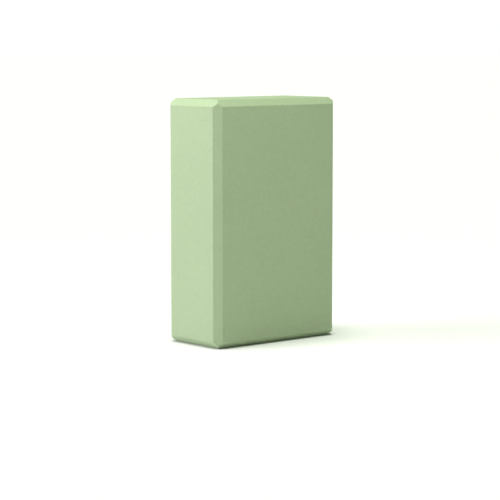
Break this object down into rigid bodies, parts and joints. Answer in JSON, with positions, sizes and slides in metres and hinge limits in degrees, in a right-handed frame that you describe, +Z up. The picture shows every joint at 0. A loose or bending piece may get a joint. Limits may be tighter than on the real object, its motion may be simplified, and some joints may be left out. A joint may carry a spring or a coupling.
{
  "type": "foam yoga block",
  "caption": "Solid rectangular foam block with bevelled edges that stands on any face, used to raise the floor under a hand, foot or hip.",
  "frame": {"origin": "centre of the small end that the block stands on, in the plane of that end", "axes": "+Z up along the block's longest side, +X across the wide faces, +Y through the thickness from one wide face to the other"},
  "size_m": [0.15, 0.075, 0.23],
  "materials": {
    "green_foam": "matte"
  },
  "bodies": {
    "root": {"foam_block": "green_foam"}
  },
  "joints": []
}
